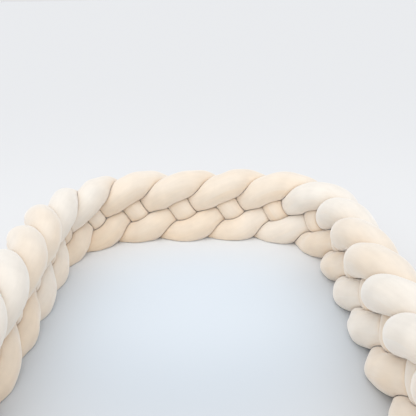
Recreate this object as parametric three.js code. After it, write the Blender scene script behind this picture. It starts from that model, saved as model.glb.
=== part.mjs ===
// A crib bumper: four soft stuffed tubes plaited flat into a long roll that stands on its edge
// and bends into a U. Millimetres, +Z up. The inside of the U faces -Y at the back run, and the
// origin is the bottom centre of the whole roll's bounding box.
//
// Each tube follows its own wave through the plait. Where two tubes press on each other they share
// a boundary half-way between their centre lines, so a tube is round where it is free, flat where
// it is pressed, and flat underneath where it stands.

import * as THREE from 'three';
import { mergeVertices } from 'three/addons/utils/BufferGeometryUtils.js';

// ---- Driving dimensions ---------------------------------------------------------------------

// The U, seen from above, measured on the line that the middle of the roll's lower edge follows.
const HALF_WIDTH = 254.2;
const CORNER_RADIUS = 166;
const HALF_LENGTH = 985; // from the middle of the back run to either end

// The plait. A tube comes back to the same place after four turns, one for each tube.
const TUBE_COUNT = 4;
const TURN_LENGTH = { left: 93.5, back: 93.6, right: 98.5 }; // the right arm is pulled out longer
const CORNER_SQUEEZE = { left: 6.5, right: 0.7 }; // how much the turns in each corner are shortened
const EVEN_TURNS = 1.5; // turns either side of the middle that belong to the back run
const CHANGE_TURNS = 2; // turns over which the plait eases into an arm's
const FIRST_TURN_AT = 20.5; // where turn 0 falls on the back run
const PATTERN_PHASE = -0.494; // turns
const MIDDLE_HEIGHT = 54.5; // above the ground, before the lean
const PEAK = 3.9; // the bends at the top and bottom edges come to more of a peak
const MIDDLE_DROP = 0.9; // the middle row sits a little low
const MIDDLE_LEAD = 0.017; // turns

// What differs between the back run and the arms.
const PLAIT = {
  // Degrees that the top leans outwards.
  lean: { left: -2.5, back: 6, right: 2.6 },
  // A tube that nothing presses.
  tubeRadius: { left: 25.7, back: 27, right: 24.8 },
  // Up and down from the middle.
  climb: { left: 42.6, back: 44.2, right: 43.9 },
  // In and out, to pass over and under.
  crossingDepth: { left: 10.5, back: 12.9, right: 10.4 },
  // A tube climbs on one face of the plait and comes down on the other.
  climbDepth: { left: 7.1, back: 4.9, right: 8.7 },
  // The top and bottom edges stand in from the middle row.
  edgeDepth: { left: 3.9, back: 4.1, right: 3.0 },
  // Turns by which the bends at the top and bottom edges are drawn out.
  longBends: { left: 0.091, back: 0.072, right: 0.058 },
  // Turns by which the top edge runs ahead of the bottom edge.
  topLead: { left: 0.246, back: 0.194, right: 0.117 },
};

// Contact and mesh.
const CONTACT_GAP = 0.5; // from each tube's surface to the boundary that it shares
const PRESS_SHARPNESS = 12; // higher makes the change from round to flat tighter
const REACH_TURNS = 1.15; // how far along the plait a tube can be pressed by another
const CENTRE_SAMPLES = 48; // points per turn on the centre lines that press
const RINGS = 150;
const END_RINGS = 4; // of those, the rings that round off each end
const SIDES = 14;
const DRAW_IN_PASSES = 6;
const SLOPE_STEP = 0.01; // turns, for a centre line's direction
const MERGE_DISTANCE = 1e-3;

const TUBE_COLOURS = [0xf6efe6, 0xf3e5d3, 0xf5eadb, 0xf1e2ce];

// ---- The U ----------------------------------------------------------------------------------

const BACK_HALF = HALF_WIDTH - CORNER_RADIUS;
const CORNER_LENGTH = CORNER_RADIUS * Math.PI / 2;

// Point and inward direction of the U's line, `distance` along it from the middle of the back run.
function pointOnU(distance) {
  const side = Math.sign(distance) || 1;
  const along = Math.abs(distance);
  const turned = THREE.MathUtils.clamp((along - BACK_HALF) / CORNER_RADIUS, 0, Math.PI / 2);
  const armLength = Math.max(0, along - BACK_HALF - CORNER_LENGTH);
  const x = Math.min(along, BACK_HALF) + CORNER_RADIUS * Math.sin(turned);
  const y = -CORNER_RADIUS * (1 - Math.cos(turned)) - armLength;
  return {
    x: side * x,
    y,
    inward: new THREE.Vector3(-side * Math.sin(turned), -Math.cos(turned), 0),
  };
}

// How far a turn is from the back run into an arm, from 0 to 1.
function armShare(turn) {
  return THREE.MathUtils.smoothstep(Math.abs(turn), EVEN_TURNS, EVEN_TURNS + CHANGE_TURNS);
}

// One of the plait's values at a turn, eased from the back run's into the nearer arm's.
function plaitValue(value, turn) {
  const arm = turn < 0 ? value.left : value.right;
  return THREE.MathUtils.lerp(value.back, arm, armShare(turn));
}

// Extra length gained `turns` away from the middle on an arm whose turns differ by `difference`.
function armGain(turns, difference) {
  const past = Math.max(0, turns - EVEN_TURNS);
  const eased = Math.min(past / CHANGE_TURNS, 1);
  const inChange = CHANGE_TURNS * (eased ** 3 - eased ** 4 / 2);
  return difference * (inChange + Math.max(0, past - CHANGE_TURNS));
}

function distanceAtTurn(turn) {
  const right = armGain(turn, TURN_LENGTH.right - TURN_LENGTH.back);
  const left = armGain(-turn, TURN_LENGTH.left - TURN_LENGTH.back);
  const squeeze = turn < 0 ? CORNER_SQUEEZE.left : -CORNER_SQUEEZE.right;
  return FIRST_TURN_AT + TURN_LENGTH.back * turn + right - left + squeeze * armShare(turn);
}

function turnAtDistance(distance) {
  let turn = distance / TURN_LENGTH.back;
  for (let step = 0; step < 20; step += 1) {
    turn += (distance - distanceAtTurn(turn)) / TURN_LENGTH.back;
  }
  return turn;
}

// ---- One tube's centre line -----------------------------------------------------------------

function centreOfTube(tube, turn) {
  const wave = (turn - PATTERN_PHASE - tube) * Math.PI / 2;
  const height = MIDDLE_HEIGHT - plaitValue(PLAIT.climb, turn) * Math.cos(wave)
    - PEAK * Math.cos(3 * wave) + MIDDLE_DROP * Math.cos(2 * wave);
  const depth = plaitValue(PLAIT.climbDepth, turn) * Math.sin(wave)
    + plaitValue(PLAIT.crossingDepth, turn) * Math.sin(3 * wave)
    + plaitValue(PLAIT.edgeDepth, turn) * Math.cos(2 * wave);
  const shift = plaitValue(PLAIT.longBends, turn) * Math.sin(2 * wave)
    - plaitValue(PLAIT.topLead, turn) * Math.cos(wave) - MIDDLE_LEAD * Math.cos(2 * wave);
  const base = pointOnU(distanceAtTurn(turn + shift));
  const lean = THREE.MathUtils.degToRad(plaitValue(PLAIT.lean, turn));
  const towardsInside = depth * Math.cos(lean) - height * Math.sin(lean);
  const centre = new THREE.Vector3(base.x, base.y, depth * Math.sin(lean) + height * Math.cos(lean));
  centre.addScaledVector(base.inward, towardsInside);
  return { centre, inward: base.inward };
}

// ---- A tube's surface -----------------------------------------------------------------------

const FIRST_TURN = turnAtDistance(-HALF_LENGTH);
const LAST_TURN = turnAtDistance(HALF_LENGTH);

function sampleCentreLine(tube) {
  const count = Math.ceil((LAST_TURN - FIRST_TURN) * CENTRE_SAMPLES);
  return Array.from({ length: count + 1 }, (_, index) => {
    const turn = THREE.MathUtils.lerp(FIRST_TURN, LAST_TURN, index / count);
    return { turn, centre: centreOfTube(tube, turn).centre };
  });
}

const CENTRE_LINES = Array.from({ length: TUBE_COUNT }, (_, tube) => sampleCentreLine(tube));

function nearbyCentres(lines, turn) {
  return lines
    .flatMap((line) => line.filter((sample) => Math.abs(sample.turn - turn) < REACH_TURNS))
    .map((sample) => sample.centre);
}

// Distance from a tube's centre, along `direction`, to the boundary with the tubes around it.
function distanceToBoundary(centre, direction, neighbours) {
  let nearest = Infinity;
  const offset = new THREE.Vector3();
  for (const other of neighbours) {
    const ahead = offset.subVectors(other, centre).dot(direction);
    if (ahead > 0) {
      nearest = Math.min(nearest, offset.lengthSq() / (2 * ahead));
    }
  }
  return nearest - CONTACT_GAP;
}

// How far inside its own side of the boundary a point of a tube's surface lies.
function clearance(point, own, neighbours) {
  const toOwn = Math.min(...own.map((centre) => centre.distanceTo(point)));
  const toOther = Math.min(...neighbours.map((centre) => centre.distanceTo(point)));
  return (toOther - toOwn) / 2;
}

// Where ring number `index` lies: its turn, and how much of the full radius it has. The end rings
// are spaced like the rings of a ball, so that each end closes round.
function ringPlace(tube, index) {
  const atStart = index < RINGS / 2;
  const end = atStart ? FIRST_TURN : LAST_TURN;
  const speed = centreOfTube(tube, end).centre
    .distanceTo(centreOfTube(tube, end + SLOPE_STEP).centre) / SLOPE_STEP;
  const roundTurns = plaitValue(PLAIT.tubeRadius, end) / speed;
  const fromEnd = Math.min(index, RINGS - index);
  if (fromEnd < END_RINGS) {
    const angle = fromEnd / END_RINGS * Math.PI / 2;
    const inFromEnd = roundTurns * (1 - Math.cos(angle));
    return { turn: end + (atStart ? inFromEnd : -inFromEnd), fullness: Math.sin(angle) };
  }
  const part = (index - END_RINGS) / (RINGS - 2 * END_RINGS);
  const turn = THREE.MathUtils.lerp(FIRST_TURN + roundTurns, LAST_TURN - roundTurns, part);
  return { turn, fullness: 1 };
}

// One ring around a tube's centre line: its centre, its directions and how far it goes in each.
function makeRing(tube, index) {
  const { turn, fullness } = ringPlace(tube, index);
  const { centre, inward } = centreOfTube(tube, turn);
  const tangent = centreOfTube(tube, turn + SLOPE_STEP).centre
    .sub(centreOfTube(tube, turn - SLOPE_STEP).centre).normalize();
  const across = inward.clone().addScaledVector(tangent, -inward.dot(tangent)).normalize();
  const upwards = tangent.clone().cross(across);
  const neighbours = nearbyCentres(CENTRE_LINES.filter((line, other) => other !== tube), turn);

  const directions = Array.from({ length: SIDES }, (_, side) => {
    const angle = -(side + 0.5) / SIDES * 2 * Math.PI;
    return across.clone().multiplyScalar(Math.cos(angle)).addScaledVector(upwards, Math.sin(angle));
  });
  const radius = plaitValue(PLAIT.tubeRadius, turn);
  const reaches = directions.map((direction) => {
    const pressed = distanceToBoundary(centre, direction, neighbours);
    const soft = (radius ** -PRESS_SHARPNESS + pressed ** -PRESS_SHARPNESS)
      ** (-1 / PRESS_SHARPNESS);
    const toGround = direction.z < 0 ? centre.z / -direction.z : Infinity;
    return Math.min(soft * fullness, toGround);
  });
  return { turn, centre, directions, reaches, neighbours };
}

function surfacePoint(ring, side) {
  const around = side % SIDES;
  const point = ring.centre.clone().addScaledVector(ring.directions[around], ring.reaches[around]);
  point.z = Math.max(0, point.z);
  return point;
}

// The straight edges between two rings cut across the hollow side of a bend. Both ends of such an
// edge are drawn in until its middle keeps its side of the boundary.
function drawInEdges(tube, ring, next) {
  const own = nearbyCentres([CENTRE_LINES[tube]], (ring.turn + next.turn) / 2);
  for (let side = 0; side < SIDES; side += 1) {
    for (const other of [side, side + 1]) {
      const middleOfEdge = surfacePoint(next, side).lerp(surfacePoint(ring, other), 0.5);
      const lack = CONTACT_GAP - clearance(middleOfEdge, own, ring.neighbours);
      if (lack > 0) {
        next.reaches[side] = Math.max(0, next.reaches[side] - lack);
        ring.reaches[other % SIDES] = Math.max(0, ring.reaches[other % SIDES] - lack);
      }
    }
  }
}

// A ball's rings are moved onto the tube's rings, which keeps its two poles as the closed ends.
function tubeGeometry(tube) {
  const rings = Array.from({ length: RINGS + 1 }, (_, index) => makeRing(tube, index));
  for (let pass = 0; pass < DRAW_IN_PASSES; pass += 1) {
    for (let index = 0; index < RINGS; index += 1) {
      drawInEdges(tube, rings[index], rings[index + 1]);
    }
  }

  const geometry = new THREE.SphereGeometry(1, SIDES, RINGS);
  const position = geometry.attributes.position;
  for (let vertex = 0; vertex < position.count; vertex += 1) {
    const ring = rings[Math.floor(vertex / (SIDES + 1))];
    const point = surfacePoint(ring, vertex % (SIDES + 1));
    position.setXYZ(vertex, point.x, point.y, point.z);
  }
  geometry.deleteAttribute('normal');
  geometry.deleteAttribute('uv');
  const merged = mergeVertices(geometry, MERGE_DISTANCE);
  merged.computeVertexNormals();
  return merged;
}

// ---- The object -----------------------------------------------------------------------------

const group = new THREE.Group();
for (let tube = 0; tube < TUBE_COUNT; tube += 1) {
  const material = new THREE.MeshStandardMaterial({
    color: TUBE_COLOURS[tube],
    roughness: 0.9,
    metalness: 0,
  });
  const mesh = new THREE.Mesh(tubeGeometry(tube), material);
  mesh.name = `tube_${tube + 1}`;
  group.add(mesh);
}

const box = new THREE.Box3().setFromObject(group);
const middle = box.getCenter(new THREE.Vector3());
group.position.set(-middle.x, -middle.y, -box.min.z);

export default group;
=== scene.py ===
import math

import bpy
import numpy as np
from mathutils import Matrix, Vector


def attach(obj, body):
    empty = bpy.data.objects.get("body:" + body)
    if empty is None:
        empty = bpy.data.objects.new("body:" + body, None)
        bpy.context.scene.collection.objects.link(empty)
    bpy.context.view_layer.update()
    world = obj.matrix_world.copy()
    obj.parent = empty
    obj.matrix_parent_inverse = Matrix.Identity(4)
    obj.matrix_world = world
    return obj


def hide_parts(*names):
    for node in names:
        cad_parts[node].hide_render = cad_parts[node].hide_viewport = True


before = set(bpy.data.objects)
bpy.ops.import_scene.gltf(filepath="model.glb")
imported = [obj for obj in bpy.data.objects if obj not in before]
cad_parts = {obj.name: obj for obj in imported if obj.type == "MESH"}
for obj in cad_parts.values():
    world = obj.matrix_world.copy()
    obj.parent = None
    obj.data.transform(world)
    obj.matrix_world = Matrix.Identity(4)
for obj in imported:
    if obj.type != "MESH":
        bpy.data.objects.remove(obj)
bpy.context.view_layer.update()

# A crib bumper: four soft stuffed velvet tubes, plaited flat into a long roll that stands on its
# edge in a U. Metres, +Z up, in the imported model's frame. A "turn" is one step of the plait: a tube
# comes back to the same place after four of them, one for each tube.

# ---- The U and the plait, as in the part's source -----------------------------------------------

# Where the middle of the back run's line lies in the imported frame.
BACK_X = -0.0025
BACK_Y = 0.3923

# The U, on the line that the middle of the roll's lower edge follows.
HALF_WIDTH = 0.2542
CORNER_RADIUS = 0.166
HALF_LENGTH = 0.985  # from the middle of the back run to either end

TUBE_COUNT = 4
TURN_LENGTH = {"left": 0.0935, "back": 0.0936, "right": 0.0985}
CORNER_SQUEEZE = {"left": 0.0065, "right": 0.0007}  # how much each corner's turns are shortened
EVEN_TURNS = 1.5  # turns either side of the middle that belong to the back run
CHANGE_TURNS = 2.0  # turns over which the plait eases into an arm's
FIRST_TURN_AT = 0.0205  # where turn 0 falls on the back run
PATTERN_PHASE = -0.494  # turns
MIDDLE_HEIGHT = 0.0545  # above the ground, before the lean
PEAK = 0.0039  # the bends at the top and bottom edges come to more of a peak
MIDDLE_DROP = 0.0009  # the middle row sits a little low
MIDDLE_LEAD = 0.017  # turns

# What differs between the back run and the arms. The top leans outwards, a tube climbs on one face
# of the plait and comes down on the other, and the edges stand in from the middle row.
LEAN_DEGREES = {"left": -2.5, "back": 6.0, "right": 2.6}
TUBE_RADIUS = {"left": 0.0257, "back": 0.027, "right": 0.0248}
CLIMB = {"left": 0.0426, "back": 0.0442, "right": 0.0439}
CROSSING_DEPTH = {"left": 0.0105, "back": 0.0129, "right": 0.0104}
CLIMB_DEPTH = {"left": 0.0071, "back": 0.0049, "right": 0.0087}
EDGE_DEPTH = {"left": 0.0039, "back": 0.0041, "right": 0.0030}
# Turns by which the edges' bends are drawn out, and by which the top edge runs ahead.
LONG_BENDS = {"left": 0.091, "back": 0.072, "right": 0.058}
TOP_LEAD = {"left": 0.246, "back": 0.194, "right": 0.117}

# ---- Contact, mesh and softness -----------------------------------------------------------------

CONTACT_GAP = 0.00035  # from each tube's surface to the boundary that it shares
PRESS_SHARPNESS = 24  # higher makes the change from round to flat tighter
REACH_TURNS = 1.15  # how far along the plait a tube can be pressed by another
CENTRE_SAMPLES = 64  # points per turn on the centre lines that press
RINGS = 720
END_RINGS = 14  # of those, the rings that round off each end
SIDES = 72
SLOPE_STEP = 0.01  # turns, for a centre line's direction
DRAW_IN_PASSES = 4  # each draws a surface back to its own side of the boundary
TURN_SEARCH_STEPS = 20
TINY = 1e-6  # below this a direction counts as not facing a neighbour or the ground

STUFFING_SEED = 7
STUFFING_WAVES = 26
STUFFING_DEPTH = 0.018  # part of the radius
STUFFING_PER_TURN = (0.4, 4.5)  # waves along the tube in one turn
STUFFING_AROUND = 5  # waves round the tube, fewer than this
END_PLEATS = 14
END_PLEAT_DEPTH = 0.10  # part of the ring's radius
END_DIMPLE = 0.004
SEAM_DEPTH = 0.0011
SEAM_HALF_WIDTH = 0.0024
CREASE_SHADE_REACH = 0.0025  # how far from a crease its painted shade shows

BACK_HALF = HALF_WIDTH - CORNER_RADIUS
CORNER_LENGTH = CORNER_RADIUS * math.pi / 2


def smoothstep(value, low, high):
    part = np.clip((value - low) / (high - low), 0.0, 1.0)
    return part * part * (3.0 - 2.0 * part)


def point_on_u(distance):
    """Points and inward directions of the U's line, `distance` along it from the back's middle."""
    side = np.where(distance < 0, -1.0, 1.0)
    along = np.abs(distance)
    turned = np.clip((along - BACK_HALF) / CORNER_RADIUS, 0.0, math.pi / 2)
    arm = np.maximum(0.0, along - BACK_HALF - CORNER_LENGTH)
    x = side * (np.minimum(along, BACK_HALF) + CORNER_RADIUS * np.sin(turned))
    y = -CORNER_RADIUS * (1.0 - np.cos(turned)) - arm
    inward = np.stack([-side * np.sin(turned), -np.cos(turned), np.zeros_like(turned)], -1)
    return x + BACK_X, y + BACK_Y, inward


def arm_share(turn):
    """How far a turn is from the back run into an arm, from 0 to 1."""
    return smoothstep(np.abs(turn), EVEN_TURNS, EVEN_TURNS + CHANGE_TURNS)


def plait_value(value, turn):
    """One of the plait's values at a turn, eased from the back run's into the nearer arm's."""
    arm = np.where(turn < 0, value["left"], value["right"])
    return value["back"] + (arm - value["back"]) * arm_share(turn)


def arm_gain(turns, difference):
    """Extra length gained some turns along, on an arm whose turns are longer by a difference."""
    past = np.maximum(0.0, turns - EVEN_TURNS)
    eased = np.minimum(past / CHANGE_TURNS, 1.0)
    in_change = CHANGE_TURNS * (eased ** 3 - eased ** 4 / 2)
    return difference * (in_change + np.maximum(0.0, past - CHANGE_TURNS))


def distance_at_turn(turn):
    """How far along the U's line from the back run's middle a turn falls."""
    right = arm_gain(turn, TURN_LENGTH["right"] - TURN_LENGTH["back"])
    left = arm_gain(-turn, TURN_LENGTH["left"] - TURN_LENGTH["back"])
    squeeze = np.where(turn < 0, CORNER_SQUEEZE["left"], -CORNER_SQUEEZE["right"])
    return (FIRST_TURN_AT + TURN_LENGTH["back"] * turn + right - left
            + squeeze * arm_share(turn))


def turn_at_distance(distance):
    """The turn that falls at a distance, found in steps that close in on it."""
    turn = distance / TURN_LENGTH["back"]
    for _ in range(TURN_SEARCH_STEPS):
        turn += (distance - distance_at_turn(turn)) / TURN_LENGTH["back"]
    return float(turn)


def centre_of_tube(tube, turn):
    """Points of one tube's centre line, and the U's inward direction at each."""
    wave = (turn - PATTERN_PHASE - tube) * math.pi / 2
    height = (MIDDLE_HEIGHT - plait_value(CLIMB, turn) * np.cos(wave)
              - PEAK * np.cos(3 * wave) + MIDDLE_DROP * np.cos(2 * wave))
    depth = (plait_value(CLIMB_DEPTH, turn) * np.sin(wave)
             + plait_value(CROSSING_DEPTH, turn) * np.sin(3 * wave)
             + plait_value(EDGE_DEPTH, turn) * np.cos(2 * wave))
    shift = (plait_value(LONG_BENDS, turn) * np.sin(2 * wave)
             - plait_value(TOP_LEAD, turn) * np.cos(wave) - MIDDLE_LEAD * np.cos(2 * wave))
    x, y, inward = point_on_u(distance_at_turn(turn + shift))
    lean = np.radians(plait_value(LEAN_DEGREES, turn))
    towards = depth * np.cos(lean) - height * np.sin(lean)
    z = depth * np.sin(lean) + height * np.cos(lean)
    return np.stack([x, y, z], -1) + inward * towards[:, None], inward


FIRST_TURN = turn_at_distance(-HALF_LENGTH)
LAST_TURN = turn_at_distance(HALF_LENGTH)
SAMPLE_TURNS = np.linspace(FIRST_TURN, LAST_TURN,
                           int((LAST_TURN - FIRST_TURN) * CENTRE_SAMPLES) + 1)
CENTRE_LINES = [centre_of_tube(tube, SAMPLE_TURNS)[0] for tube in range(TUBE_COUNT)]


def unit(vectors):
    return vectors / np.linalg.norm(vectors, axis=-1, keepdims=True)


def ring_places(tube):
    """Each ring's turn, and how much of the full radius it has."""
    ends = []
    for end, inside in ((FIRST_TURN, 1.0), (LAST_TURN, -1.0)):
        pair = centre_of_tube(tube, np.array([end, end + inside * SLOPE_STEP]))[0]
        speed = np.linalg.norm(pair[1] - pair[0]) / SLOPE_STEP
        round_turns = float(plait_value(TUBE_RADIUS, end)) / speed
        angle = np.arange(1, END_RINGS) / END_RINGS * math.pi / 2
        ends.append((end + inside * round_turns * (1 - np.cos(angle)), np.sin(angle),
                     end + inside * round_turns))
    middle = np.linspace(ends[0][2], ends[1][2], RINGS - 2 * END_RINGS)
    turns = np.concatenate([ends[0][0], middle, ends[1][0][::-1]])
    fullness = np.concatenate([ends[0][1], np.ones_like(middle), ends[1][1][::-1]])
    return turns, fullness


def stuffing(tube, turns, angles):
    """Gentle unevenness of the filling, about -1 to 1, the same on each run."""
    random = np.random.default_rng(STUFFING_SEED + tube)
    total = np.zeros((len(turns), len(angles)))
    for _ in range(STUFFING_WAVES):
        per_turn = random.uniform(*STUFFING_PER_TURN)
        around = int(random.integers(0, STUFFING_AROUND))
        phase = random.uniform(0, 2 * math.pi)
        total += np.sin(2 * math.pi * per_turn * turns[:, None] + around * angles[None] + phase)
    return total / math.sqrt(STUFFING_WAVES / 2)


def nearby(lines, turn):
    """The lines' points that are within reach along the plait."""
    near = np.abs(SAMPLE_TURNS - turn) < REACH_TURNS
    return np.concatenate([line[near] for line in lines])


def nearest_distance(points, centres):
    """Each point's distance from the nearest of the centres."""
    offset = points[:, None, :] - centres[None, :, :]
    return np.sqrt((offset ** 2).sum(-1).min(1))


def tube_surface(tube):
    """One tube's ring points, with what the colours and their painted light and shade need: how near
    each is to a shared boundary and to the seam, and each ring's turn, centre and directions.

    A tube is round where it is free, and flat where the half-way boundary to a neighbour is nearer.
    """
    turns, fullness = ring_places(tube)
    centres, inward = centre_of_tube(tube, turns)
    tangent = unit(centre_of_tube(tube, turns + SLOPE_STEP)[0]
                   - centre_of_tube(tube, turns - SLOPE_STEP)[0])
    across = unit(inward - tangent * (inward * tangent).sum(-1, keepdims=True))
    upwards = np.cross(tangent, across)
    angles = (np.arange(SIDES) + 0.5) / SIDES * 2 * math.pi
    directions = (np.cos(angles)[None, :, None] * across[:, None]
                  + np.sin(angles)[None, :, None] * upwards[:, None])
    radius = plait_value(TUBE_RADIUS, turns)[:, None]
    free = radius * (1 + STUFFING_DEPTH * stuffing(tube, turns, angles))
    others = [line for other, line in enumerate(CENTRE_LINES) if other != tube]

    reaches = np.empty_like(free)
    clearance = np.empty_like(free)
    for ring, turn in enumerate(turns):
        neighbours = nearby(others, turn)
        own = nearby([CENTRE_LINES[tube]], turn)
        offset = neighbours - centres[ring]
        ahead = directions[ring] @ offset.T
        square = (offset ** 2).sum(-1)
        to_boundary = np.where(ahead > TINY, square / (2 * np.maximum(ahead, TINY)), np.inf)
        pressed = to_boundary.min(1) - CONTACT_GAP
        soft = (free[ring] ** -PRESS_SHARPNESS + pressed ** -PRESS_SHARPNESS) ** (
            -1 / PRESS_SHARPNESS) * fullness[ring]
        for _ in range(DRAW_IN_PASSES):
            points = centres[ring] + directions[ring] * soft[:, None]
            room = (nearest_distance(points, neighbours) - nearest_distance(points, own)) / 2
            soft = soft - np.maximum(0.0, CONTACT_GAP - room)
        reaches[ring] = soft
        clearance[ring] = room

    # The seam runs along the outward side. The pleats gather towards each end.
    from_seam = np.abs(angles - math.pi)[None, :] * radius
    seam = np.exp(-(from_seam / SEAM_HALF_WIDTH) ** 2)
    gathered = (1 - fullness[:, None]) * np.sin(np.minimum(fullness[:, None], 1) * math.pi)
    pleats = 1 - END_PLEAT_DEPTH * gathered * (1 + np.cos(END_PLEATS * angles[None]))
    reaches = reaches * pleats - SEAM_DEPTH * seam * fullness[:, None]

    down = -directions[:, :, 2]
    to_ground = np.where(down > TINY, centres[:, None, 2] / np.maximum(down, TINY), np.inf)
    reaches = np.minimum(reaches, to_ground)
    points = centres[:, None] + directions * reaches[:, :, None]
    points[:, :, 2] = np.maximum(points[:, :, 2], 0.0)
    return points, clearance, seam, turns, centres, tangent, directions


# ---- Painted light, shade and nap sheen in the velvet's tone ------------------------------------

# The nap of tubes 1 and 4 runs one way along the plait and that of tubes 2 and 3 the other way, so
# each pair looks paler on one arm of the U, a sheen that is painted into the colour. Distances along
# the U's line from the back's middle.
PALE_ON_LEFT = ("tube_1", "tube_4")
PALE_LEFT_RANGE = (-0.29, -0.15)
PALE_RIGHT_RANGE = (0.02, 0.20)

# A tone runs from 0, the warmest cream, to 1, the whitest.
CREAM_TONE = 0.38
IVORY_TONE = 0.82
# Painted light whitens a tube's upper side, painted sheen the places where it climbs, and painted
# shade warms the low loops.
PAINTED_TOP_LIGHT = 0.24
PAINTED_CLIMB_SHEEN = 0.08
PAINTED_LOW_LOOP_SHADE = -0.24


def painted_light_and_shade_tone(name, turns, centres, tangent, directions):
    """Painted light and sheen make a tube whiter on its upper side and where it climbs; painted shade
    makes it warmer low down in the plait.
    """
    distance = distance_at_turn(turns)
    if name in PALE_ON_LEFT:
        pale = 1.0 - smoothstep(distance, *PALE_LEFT_RANGE)
    else:
        pale = smoothstep(distance, *PALE_RIGHT_RANGE)
    lowness = np.maximum(0.0, MIDDLE_HEIGHT - centres[:, 2]) / CLIMB["back"]
    along = (CREAM_TONE + (IVORY_TONE - CREAM_TONE) * pale + PAINTED_CLIMB_SHEEN * tangent[:, 2]
             + PAINTED_LOW_LOOP_SHADE * lowness)
    return along[:, None] + PAINTED_TOP_LIGHT * directions[:, :, 2]


# ---- Materials ----------------------------------------------------------------------------------

# The tone mixes these two creams: painted light and sheen move it to the whiter, painted shade to the
# warmer.
WARM_CREAM = (0.815, 0.655, 0.485, 1.0)
WHITE_CREAM = (0.832, 0.780, 0.708, 1.0)
CREASE_SHADE_AND_SEAM_CREAM = (0.78, 0.56, 0.36, 1.0)
# How much of the deep colour shows: in a crease between tubes it is painted shade, and it also
# darkens along a seam.
CREASE_SHADE_STRENGTH = 0.16
SEAM_STRENGTH = 0.22

# Brushed strokes change the tone. Mottling and fine streaks make the colour lighter and darker.
# Scales are per metre, and a stretch under 1 draws the noise out along the tube.
STROKE_SCALE = 26.0
STROKE_STRETCH = 0.45
STROKE_TONE = 0.14
MOTTLE_SCALE = 38.0
MOTTLE_RANGE = (0.965, 1.03)
STREAK_SCALE = 160.0
STREAK_STRETCH = 0.22
STREAK_RANGE = (0.975, 1.02)
NOISE_RANGE = (0.3, 0.7)  # where most of a noise's values lie
PILE_SCALE = 1500.0
PILE_STRENGTH = 0.35
PILE_HEIGHT = 0.0003


def mix_colours(tree, blend, factor, first, second):
    """A colour mix node's output. Each value is a number, a colour or another node's socket."""
    node = tree.nodes.new("ShaderNodeMix")
    node.data_type = "RGBA"
    node.blend_type = blend
    inputs = [socket for socket in node.inputs if socket.enabled]
    for socket, value in zip(inputs, (factor, first, second)):
        if isinstance(value, bpy.types.NodeSocket):
            tree.links.new(value, socket)
        else:
            socket.default_value = value
    return [socket for socket in node.outputs if socket.enabled][0]


def attribute_value(tree, name):
    """The value that the mesh keeps under a name at each of its points."""
    node = tree.nodes.new("ShaderNodeAttribute")
    node.attribute_name = name
    return node.outputs["Fac"]


def make_velvet():
    """Short-pile velvet: a tone of the nap's painted sheen and of painted light and shade, brushed
    strokes, fine streaks, painted crease shade and a raised pile.
    """
    material = bpy.data.materials.new("cream_velvet")
    material.use_nodes = True
    tree = material.node_tree
    shader = tree.nodes["Principled BSDF"]
    shader.inputs["Roughness"].default_value = 0.92
    shader.inputs["Specular IOR Level"].default_value = 0.15
    shader.inputs["Sheen Weight"].default_value = 1.0
    shader.inputs["Sheen Roughness"].default_value = 0.5
    shader.inputs["Sheen Tint"].default_value = (1.0, 0.985, 0.96, 1.0)

    def noise(scale, detail, vector):
        """Soft noise, finer with more detail, at the place that the vector gives."""
        node = tree.nodes.new("ShaderNodeTexNoise")
        node.inputs["Scale"].default_value = scale
        node.inputs["Detail"].default_value = detail
        tree.links.new(vector, node.inputs["Vector"])
        return node.outputs["Fac"]

    def spread(value, low, high):
        """A noise's usual range turned into the range from low to high."""
        node = tree.nodes.new("ShaderNodeMapRange")
        node.inputs["From Min"].default_value = NOISE_RANGE[0]
        node.inputs["From Max"].default_value = NOISE_RANGE[1]
        node.inputs["To Min"].default_value = low
        node.inputs["To Max"].default_value = high
        tree.links.new(value, node.inputs["Value"])
        return node.outputs["Result"]

    def stretched(stretch):
        """The map round and along the tube, drawn out along it."""
        lie = tree.nodes.new("ShaderNodeUVMap")
        lie.uv_map = "along_tube"
        node = tree.nodes.new("ShaderNodeMapping")
        node.inputs["Scale"].default_value = (1.0, stretch, 1.0)
        tree.links.new(lie.outputs["UV"], node.inputs["Vector"])
        return node.outputs["Vector"]

    def shaded(colour, value):
        """A colour made lighter or darker by a factor."""
        grey = tree.nodes.new("ShaderNodeCombineColor")
        for channel in ("Red", "Green", "Blue"):
            tree.links.new(value, grey.inputs[channel])
        return mix_colours(tree, "MULTIPLY", 1.0, colour, grey.outputs["Color"])

    place = tree.nodes.new("ShaderNodeTexCoord").outputs["Object"]
    strokes = noise(STROKE_SCALE, 1.0, stretched(STROKE_STRETCH))
    mottling = noise(MOTTLE_SCALE, 2.0, place)
    streaks = noise(STREAK_SCALE, 3.0, stretched(STREAK_STRETCH))
    # The tone holds painted light, shade and sheen, and the brushed strokes add random changes to it.
    tone = tree.nodes.new("ShaderNodeMath")
    tone.operation = "ADD"
    tone.use_clamp = True
    tree.links.new(attribute_value(tree, "tone"), tone.inputs[0])
    tree.links.new(spread(strokes, -STROKE_TONE, STROKE_TONE), tone.inputs[1])
    colour = mix_colours(tree, "MIX", tone.outputs[0], WARM_CREAM, WHITE_CREAM)
    colour = shaded(colour, spread(mottling, *MOTTLE_RANGE))
    colour = shaded(colour, spread(streaks, *STREAK_RANGE))
    # Painted shade in the creases between tubes, and a darker line along the seam.
    colour = mix_colours(tree, "MIX", attribute_value(tree, "crease_shade_and_seam"), colour, CREASE_SHADE_AND_SEAM_CREAM)
    tree.links.new(colour, shader.inputs["Base Color"])

    pile = tree.nodes.new("ShaderNodeBump")
    pile.inputs["Strength"].default_value = PILE_STRENGTH
    pile.inputs["Distance"].default_value = PILE_HEIGHT
    tree.links.new(noise(PILE_SCALE, 2.0, place), pile.inputs["Height"])
    tree.links.new(pile.outputs["Normal"], shader.inputs["Normal"])
    return material


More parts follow.
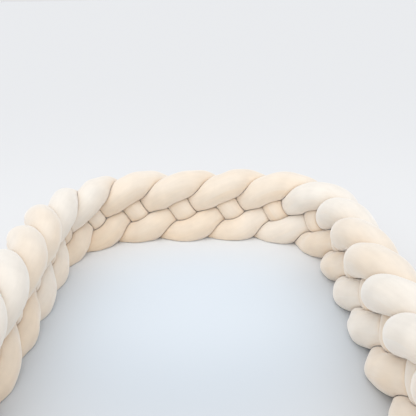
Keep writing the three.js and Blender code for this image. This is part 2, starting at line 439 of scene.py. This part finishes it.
FLOOR_MIDDLE_COLOUR = (0.720, 0.785, 0.855, 1.0)
FLOOR_AROUND_COLOUR = (0.800, 0.810, 0.825, 1.0)
BLACK = (0.0, 0.0, 0.0, 1.0)


def make_floor_material():
    """A pale sheet, bluish inside the U, with painted shade that makes it a little darker close to
    the bumper.
    """
    material = bpy.data.materials.new("pale_floor")
    material.use_nodes = True
    tree = material.node_tree
    shader = tree.nodes["Principled BSDF"]
    shader.inputs["Roughness"].default_value = 1.0
    shader.inputs["Specular IOR Level"].default_value = 0.0

    around = attribute_value(tree, "around")
    shade = attribute_value(tree, "shade")
    colour = mix_colours(tree, "MIX", around, FLOOR_MIDDLE_COLOUR, FLOOR_AROUND_COLOUR)
    # Painted shade darkens the floor close to the arms and towards the open end.
    colour = mix_colours(tree, "MULTIPLY", shade, colour, BLACK)
    tree.links.new(colour, shader.inputs["Base Color"])
    return material


# ---- The pieces ---------------------------------------------------------------------------------


def add_object(name, data):
    thing = bpy.data.objects.new(name, data)
    bpy.context.scene.collection.objects.link(thing)
    return thing


def store(mesh, name, values):
    """Keeps one value for each point of a mesh under a name that a material can read."""
    attribute = mesh.attributes.new(name, "FLOAT", "POINT")
    attribute.data.foreach_set("value", values.reshape(-1).astype(np.float32))


def map_along_tube(mesh, length, quad_count):
    """Gives a mesh of rings a map in metres, u round the tube and v along it."""
    around = 2 * math.pi * TUBE_RADIUS["back"]
    ring_count = len(length)
    first_pole = ring_count * SIDES
    point = np.empty(len(mesh.loops), dtype=np.int32)
    mesh.loops.foreach_get("vertex_index", point)
    on_ring = point < first_pole
    side = np.where(on_ring, point % SIDES, 0)
    pole_ring = np.where(point == first_pole, 0, ring_count - 1)
    ring = np.where(on_ring, point // SIDES, pole_ring)
    # The strip of quads that closes the ring ends at the map's far edge, not back at its start.
    wraps = np.zeros(len(point), dtype=bool)
    quad_corners = quad_count * 4
    quad_sides = side[:quad_corners].reshape(-1, 4)
    closing = (quad_sides.max(1) == SIDES - 1) & (quad_sides.min(1) == 0)
    wraps[:quad_corners] = (closing[:, None] & (quad_sides == 0)).reshape(-1)
    u = np.where(wraps, around, side / SIDES * around)
    layer = mesh.uv_layers.new(name="along_tube")
    layer.data.foreach_set("uv", np.stack([u, length[ring]], -1).reshape(-1).astype(np.float32))


def tube_mesh(name, tube):
    """Rings of points joined by quads, and a fan of triangles that closes each end."""
    points, clearance, seam, turns, centres, tangent, directions = tube_surface(tube)
    ring_count = len(turns)
    poles = []
    for ring, inside in ((0, 1.0), (-1, -1.0)):
        poles.append(points[ring].mean(0) + tangent[ring] * inside * END_DIMPLE)
    vertices = np.concatenate([points.reshape(-1, 3), np.array(poles)])
    vertices[:, 2] = np.maximum(vertices[:, 2], 0.0)

    index = np.arange(ring_count * SIDES).reshape(ring_count, SIDES)
    following = np.roll(index, -1, axis=1)
    quads = np.stack([index[:-1], following[:-1], following[1:], index[1:]], -1).reshape(-1, 4)
    first_pole = ring_count * SIDES
    fans = [(first_pole, following[0, side], index[0, side]) for side in range(SIDES)]
    fans += [(first_pole + 1, index[-1, side], following[-1, side]) for side in range(SIDES)]
    faces = [tuple(map(int, quad)) for quad in quads] + [tuple(map(int, fan)) for fan in fans]

    mesh = bpy.data.meshes.new(name)
    mesh.from_pydata(vertices.tolist(), [], faces)
    mesh.update()
    mesh.polygons.foreach_set("use_smooth", np.ones(len(mesh.polygons), dtype=bool))

    # Painted light, shade and the nap's painted sheen, kept as a tone.
    tone = painted_light_and_shade_tone(name, turns, centres, tangent, directions)
    # Painted shade in the creases between tubes, and a darker line along the seam.
    crease = np.exp(-np.maximum(clearance - CONTACT_GAP, 0.0) / CREASE_SHADE_REACH)
    crease_shade_and_seam = np.maximum(CREASE_SHADE_STRENGTH * crease, SEAM_STRENGTH * seam)
    store(mesh, "tone", np.append(tone, [CREAM_TONE, CREAM_TONE]))
    store(mesh, "crease_shade_and_seam", np.append(crease_shade_and_seam, [0.0, 0.0]))

    step = np.linalg.norm(np.diff(centres, axis=0), axis=-1)
    map_along_tube(mesh, np.concatenate([[0.0], np.cumsum(step)]), len(quads))
    return mesh


velvet = make_velvet()
for tube in range(TUBE_COUNT):
    name = f"tube_{tube + 1}"
    mesh = tube_mesh(name, tube)
    mesh.materials.append(velvet)
    piece = add_object(f"soft_{name}", mesh)
    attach(piece, "root")
    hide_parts(name)

# ---- Floor, light and camera --------------------------------------------------------------------

FLOOR_DEPTH = 0.0004  # below the ground that the roll stands on
FLOOR_NEAR = 0.75  # half the width of the part with even cells
FLOOR_CELLS = 120
FLOOR_FAR = (1.0, 1.6, 3.0, 8.0, 30.0, 120.0, 400.0)
LINE_SAMPLES = 400

# The floor's colour changes at these distances from the middle of the U.
FLOOR_MIDDLE_Y = 0.05
FLOOR_AROUND_RANGE = (0.12, 0.42)
# It is darker close to the arms, and towards the open end. The back run has no such shade.
NEAR_SHADE = 0.20
NEAR_SHADE_REACH = 0.050
NEAR_SHADE_END = (0.15, 0.33)
FRONT_SHADE = 0.15
FRONT_SHADE_RANGE = (-0.22, 0.08)

WORLD_COLOUR = (0.985, 0.99, 1.0, 1.0)
WORLD_STRENGTH = 0.78

OVERHEAD_PLACE = (0.0, 0.22, 1.0)
OVERHEAD_TARGET = (0.0, 0.24, 0.0)
OVERHEAD_SIZE = 0.7
OVERHEAD_WATTS = 1.1

DAYLIGHT_STRENGTH = 1.15
DAYLIGHT_SPREAD_DEGREES = 90
DAYLIGHT_TILT_DEGREES = 45  # from straight down towards the back run
DAYLIGHT_TURN_DEGREES = -12  # it comes a little from the left

CAMERA_PLACE = (BACK_X + 0.025, BACK_Y - 1.090, 0.445)
CAMERA_PITCH = 19.7  # degrees downwards
CAMERA_ROLL = -0.97  # degrees
SENSOR_WIDTH = 36.0  # millimetres
FOCAL_LENGTH = 50.8  # millimetres
VIEW_END = 1000.0


def floor_mesh():
    """A wide flat grid that keeps, at each point, how pale and how shaded the floor is there."""
    line = np.concatenate([-np.array(FLOOR_FAR)[::-1],
                           np.linspace(-FLOOR_NEAR, FLOOR_NEAR, FLOOR_CELLS + 1),
                           np.array(FLOOR_FAR)])
    x, y = np.meshgrid(line, line)
    count = len(line)
    index = np.arange(count * count).reshape(count, count)
    quads = np.stack([index[:-1, :-1], index[:-1, 1:], index[1:, 1:], index[1:, :-1]], -1)
    points = np.stack([x, y, np.full_like(x, -FLOOR_DEPTH)], -1).reshape(-1, 3)
    mesh = bpy.data.meshes.new("floor")
    mesh.from_pydata(points.tolist(), [], quads.reshape(-1, 4).tolist())

    line_x, line_y, _ = point_on_u(np.linspace(-HALF_LENGTH, HALF_LENGTH, LINE_SAMPLES))
    flat = points[:, None, :2] - np.stack([line_x, line_y], -1)[None]
    distance = np.sqrt((flat ** 2).sum(-1).min(1))
    from_middle = np.hypot(points[:, 0], points[:, 1] - FLOOR_MIDDLE_Y)
    around = smoothstep(from_middle, *FLOOR_AROUND_RANGE)
    near = np.exp(-np.maximum(distance - TUBE_RADIUS["back"], 0.0) / NEAR_SHADE_REACH)
    front = (1.0 - smoothstep(points[:, 1], *FRONT_SHADE_RANGE)) * (1.0 - around)
    near *= 1.0 - smoothstep(points[:, 1], *NEAR_SHADE_END)
    shade = NEAR_SHADE * near + FRONT_SHADE * front
    store(mesh, "around", around)
    store(mesh, "shade", shade)
    mesh.materials.append(make_floor_material())
    return mesh


floor = add_object("floor", floor_mesh())

world = bpy.data.worlds.new("studio")
world.use_nodes = True
background = world.node_tree.nodes["Background"]
background.inputs["Color"].default_value = WORLD_COLOUR
background.inputs["Strength"].default_value = WORLD_STRENGTH
bpy.context.scene.world = world

overhead_data = bpy.data.lights.new("overhead", "AREA")
overhead_data.shape = "SQUARE"
overhead_data.size = OVERHEAD_SIZE
overhead_data.energy = OVERHEAD_WATTS
overhead = add_object("overhead", overhead_data)
overhead.location = OVERHEAD_PLACE
aim = Vector(OVERHEAD_TARGET) - Vector(OVERHEAD_PLACE)
overhead.rotation_euler = aim.to_track_quat("-Z", "Y").to_euler()

daylight_data = bpy.data.lights.new("daylight", "SUN")
daylight_data.energy = DAYLIGHT_STRENGTH
daylight_data.angle = math.radians(DAYLIGHT_SPREAD_DEGREES)
daylight = add_object("daylight", daylight_data)
daylight.rotation_euler = (math.radians(DAYLIGHT_TILT_DEGREES), 0.0,
                           math.radians(DAYLIGHT_TURN_DEGREES))

camera_data = bpy.data.cameras.new("camera")
camera_data.sensor_width = SENSOR_WIDTH
camera_data.lens = FOCAL_LENGTH
camera_data.clip_end = VIEW_END
camera = add_object("camera", camera_data)
camera.matrix_world = (Matrix.Translation(CAMERA_PLACE)
                       @ Matrix.Rotation(math.radians(90 - CAMERA_PITCH), 4, "X")
                       @ Matrix.Rotation(math.radians(CAMERA_ROLL), 4, "Z"))
bpy.context.scene.camera = camera
bpy.context.scene.view_settings.view_transform = "Standard"
